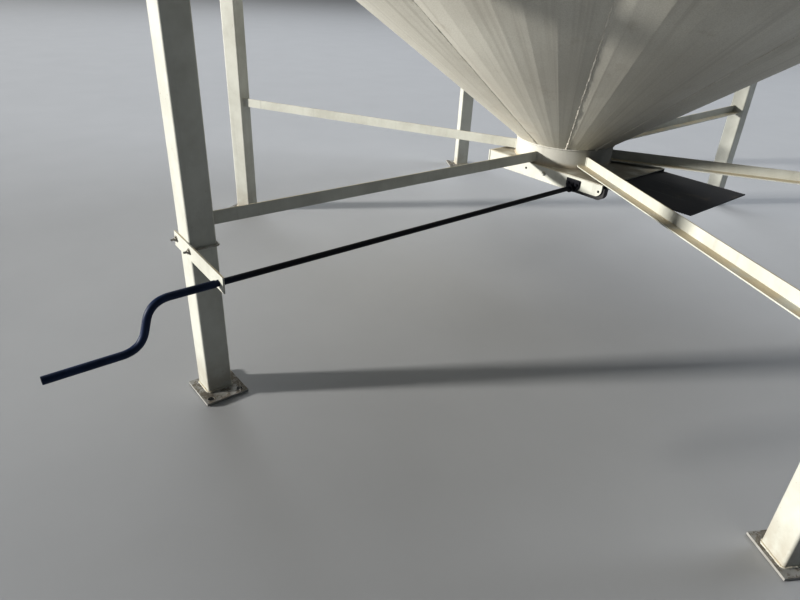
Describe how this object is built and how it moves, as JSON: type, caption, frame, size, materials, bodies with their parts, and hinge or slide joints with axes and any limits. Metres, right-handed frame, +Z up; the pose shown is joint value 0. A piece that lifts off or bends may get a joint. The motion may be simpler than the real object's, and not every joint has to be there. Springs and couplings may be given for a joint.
{
  "type": "elevated grain silo with conical hopper",
  "caption": "Round steel grain silo with a conical hopper on box legs, angle braces to the outlet, and a slide gate worked by a long hand crank.",
  "frame": {"origin": "middle of the footprint on the ground, so 0.2595 m from the silo's axis towards the crank", "axes": "+Z up, -X out along leg 1 and the crank, -Y the way the slide gate opens"},
  "size_m": [4.831, 4.18, 6.8113],
  "materials": {
    "cream_paint": "cream paint, satin, weathered with dust and small rust marks",
    "hopper_sheet": "dull warm grey sheet in flat radial folds, dusty",
    "wall_sheet": "galvanised corrugated sheet, dull",
    "roof_sheet": "galvanised sheet with standing ribs, dull",
    "collar_sheet": "pale grey steel collar, dusty",
    "foot_steel": "grey plate covered with dirt",
    "slide_steel": "dark dull steel sheet",
    "crank_paint": "blue-black paint, half gloss, worn",
    "bolt_steel": "zinc-plated bolts and nuts",
    "seam_sealant": "smeared pale sealant and weld beads"
  },
  "bodies": {
    "silo": {"leg_1": "cream_paint", "brace_1": "cream_paint", "foot_plate_1": "foot_steel", "wall_panel_1": "wall_sheet", "roof_panel_1": "roof_sheet", "leg_2": "cream_paint", "brace_2": "cream_paint", "foot_plate_2": "foot_steel", "wall_panel_2": "wall_sheet", "roof_panel_2": "roof_sheet", "leg_3": "cream_paint", "brace_3": "cream_paint", "foot_plate_3": "foot_steel", "wall_panel_3": "wall_sheet", "roof_panel_3": "roof_sheet", "leg_4": "cream_paint", "brace_4": "cream_paint", "foot_plate_4": "foot_steel", "wall_panel_4": "wall_sheet", "roof_panel_4": "roof_sheet", "leg_5": "cream_paint", "brace_5": "cream_paint", "foot_plate_5": "foot_steel", "wall_panel_5": "wall_sheet", "roof_panel_5": "roof_sheet", "leg_6": "cream_paint", "brace_6": "cream_paint", "foot_plate_6": "foot_steel", "wall_panel_6": "wall_sheet", "roof_panel_6": "roof_sheet", "hopper_panel_1": "hopper_sheet", "hopper_panel_2": "hopper_sheet", "hopper_panel_3": "hopper_sheet", "hopper_panel_4": "hopper_sheet", "hopper_panel_5": "hopper_sheet", "hopper_panel_6": "hopper_sheet", "hopper_panel_7": "hopper_sheet", "hopper_panel_8": "hopper_sheet", "hopper_panel_9": "hopper_sheet", "hopper_panel_10": "hopper_sheet", "hopper_ring": "wall_sheet", "roof_cap": "roof_sheet", "outlet_collar": "collar_sheet", "gate_cover_plate": "cream_paint", "gate_rail_near": "cream_paint", "gate_rail_far": "cream_paint", "gate_end_bar": "cream_paint", "shaft_bearing": "crank_paint", "crank_bracket": "cream_paint", "bracket_u_bolt": "bolt_steel"},
    "slide": {"slide_gate": "slide_steel"},
    "crank": {"crank_rod": "crank_paint", "crank_handle": "crank_paint"}
  },
  "joints": [
    {"name": "crank_turn", "type": "hinge", "parent": "silo", "child": "crank", "pos_m": [-0.0105, -0.29, 0.607], "axis": [-1, 0, 0], "range_deg": [0, 1258]},
    {"name": "gate_travel", "type": "slide", "parent": "silo", "child": "slide", "axis": [0, 1, 0], "range_m": [0, 0.527]}
  ],
  "couplings": [
    {"joint": "gate_travel", "follows": "crank_turn", "m_per_rad": 0.024}
  ]
}
